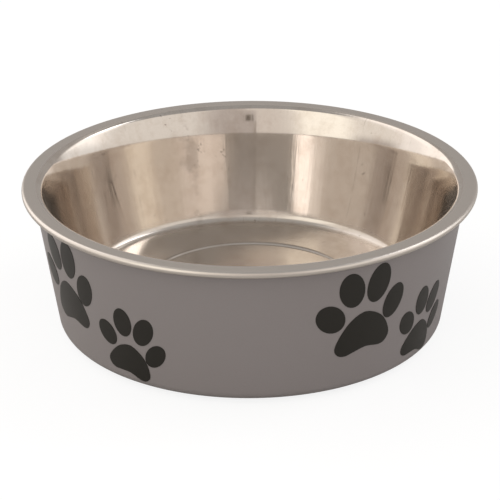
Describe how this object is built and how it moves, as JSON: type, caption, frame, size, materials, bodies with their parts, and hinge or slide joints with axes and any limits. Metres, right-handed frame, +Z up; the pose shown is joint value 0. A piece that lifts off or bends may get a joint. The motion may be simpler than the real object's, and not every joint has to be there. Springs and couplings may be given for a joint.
{
  "type": "dog bowl",
  "caption": "Round pet bowl: a drawn stainless steel bowl with a flat rolled rim, bonded in a tapered grey jacket with paw prints, on a removable rubber ring.",
  "frame": {"origin": "on the floor, at the middle of the rubber ring's underside", "axes": "+Z up along the bowl's axis, -Y the front with a bare stretch of jacket between a small and a big paw print, +X to the right seen from the front"},
  "size_m": [0.17, 0.17, 0.0569],
  "materials": {
    "steel": "satin drawn stainless steel with a polished inner wall",
    "jacket": "satin warm grey",
    "adhesive": "cured clear sealant",
    "rubber": "matte black",
    "print_ink": "printed black film"
  },
  "bodies": {
    "ring": {"base_ring": "rubber"},
    "bowl": {"inner_bowl": "steel", "outer_jacket": "jacket", "rim_adhesive": "adhesive", "big_paw_print_1": "print_ink", "big_paw_print_2": "print_ink", "big_paw_print_3": "print_ink", "big_paw_print_4": "print_ink", "small_paw_print_1": "print_ink", "small_paw_print_2": "print_ink", "small_paw_print_3": "print_ink", "small_paw_print_4": "print_ink"}
  },
  "joints": [
    {"name": "bowl_off_ring", "type": "slide", "parent": "ring", "child": "bowl", "axis": [0, 0, 1], "range_m": [0, 0.012]}
  ]
}
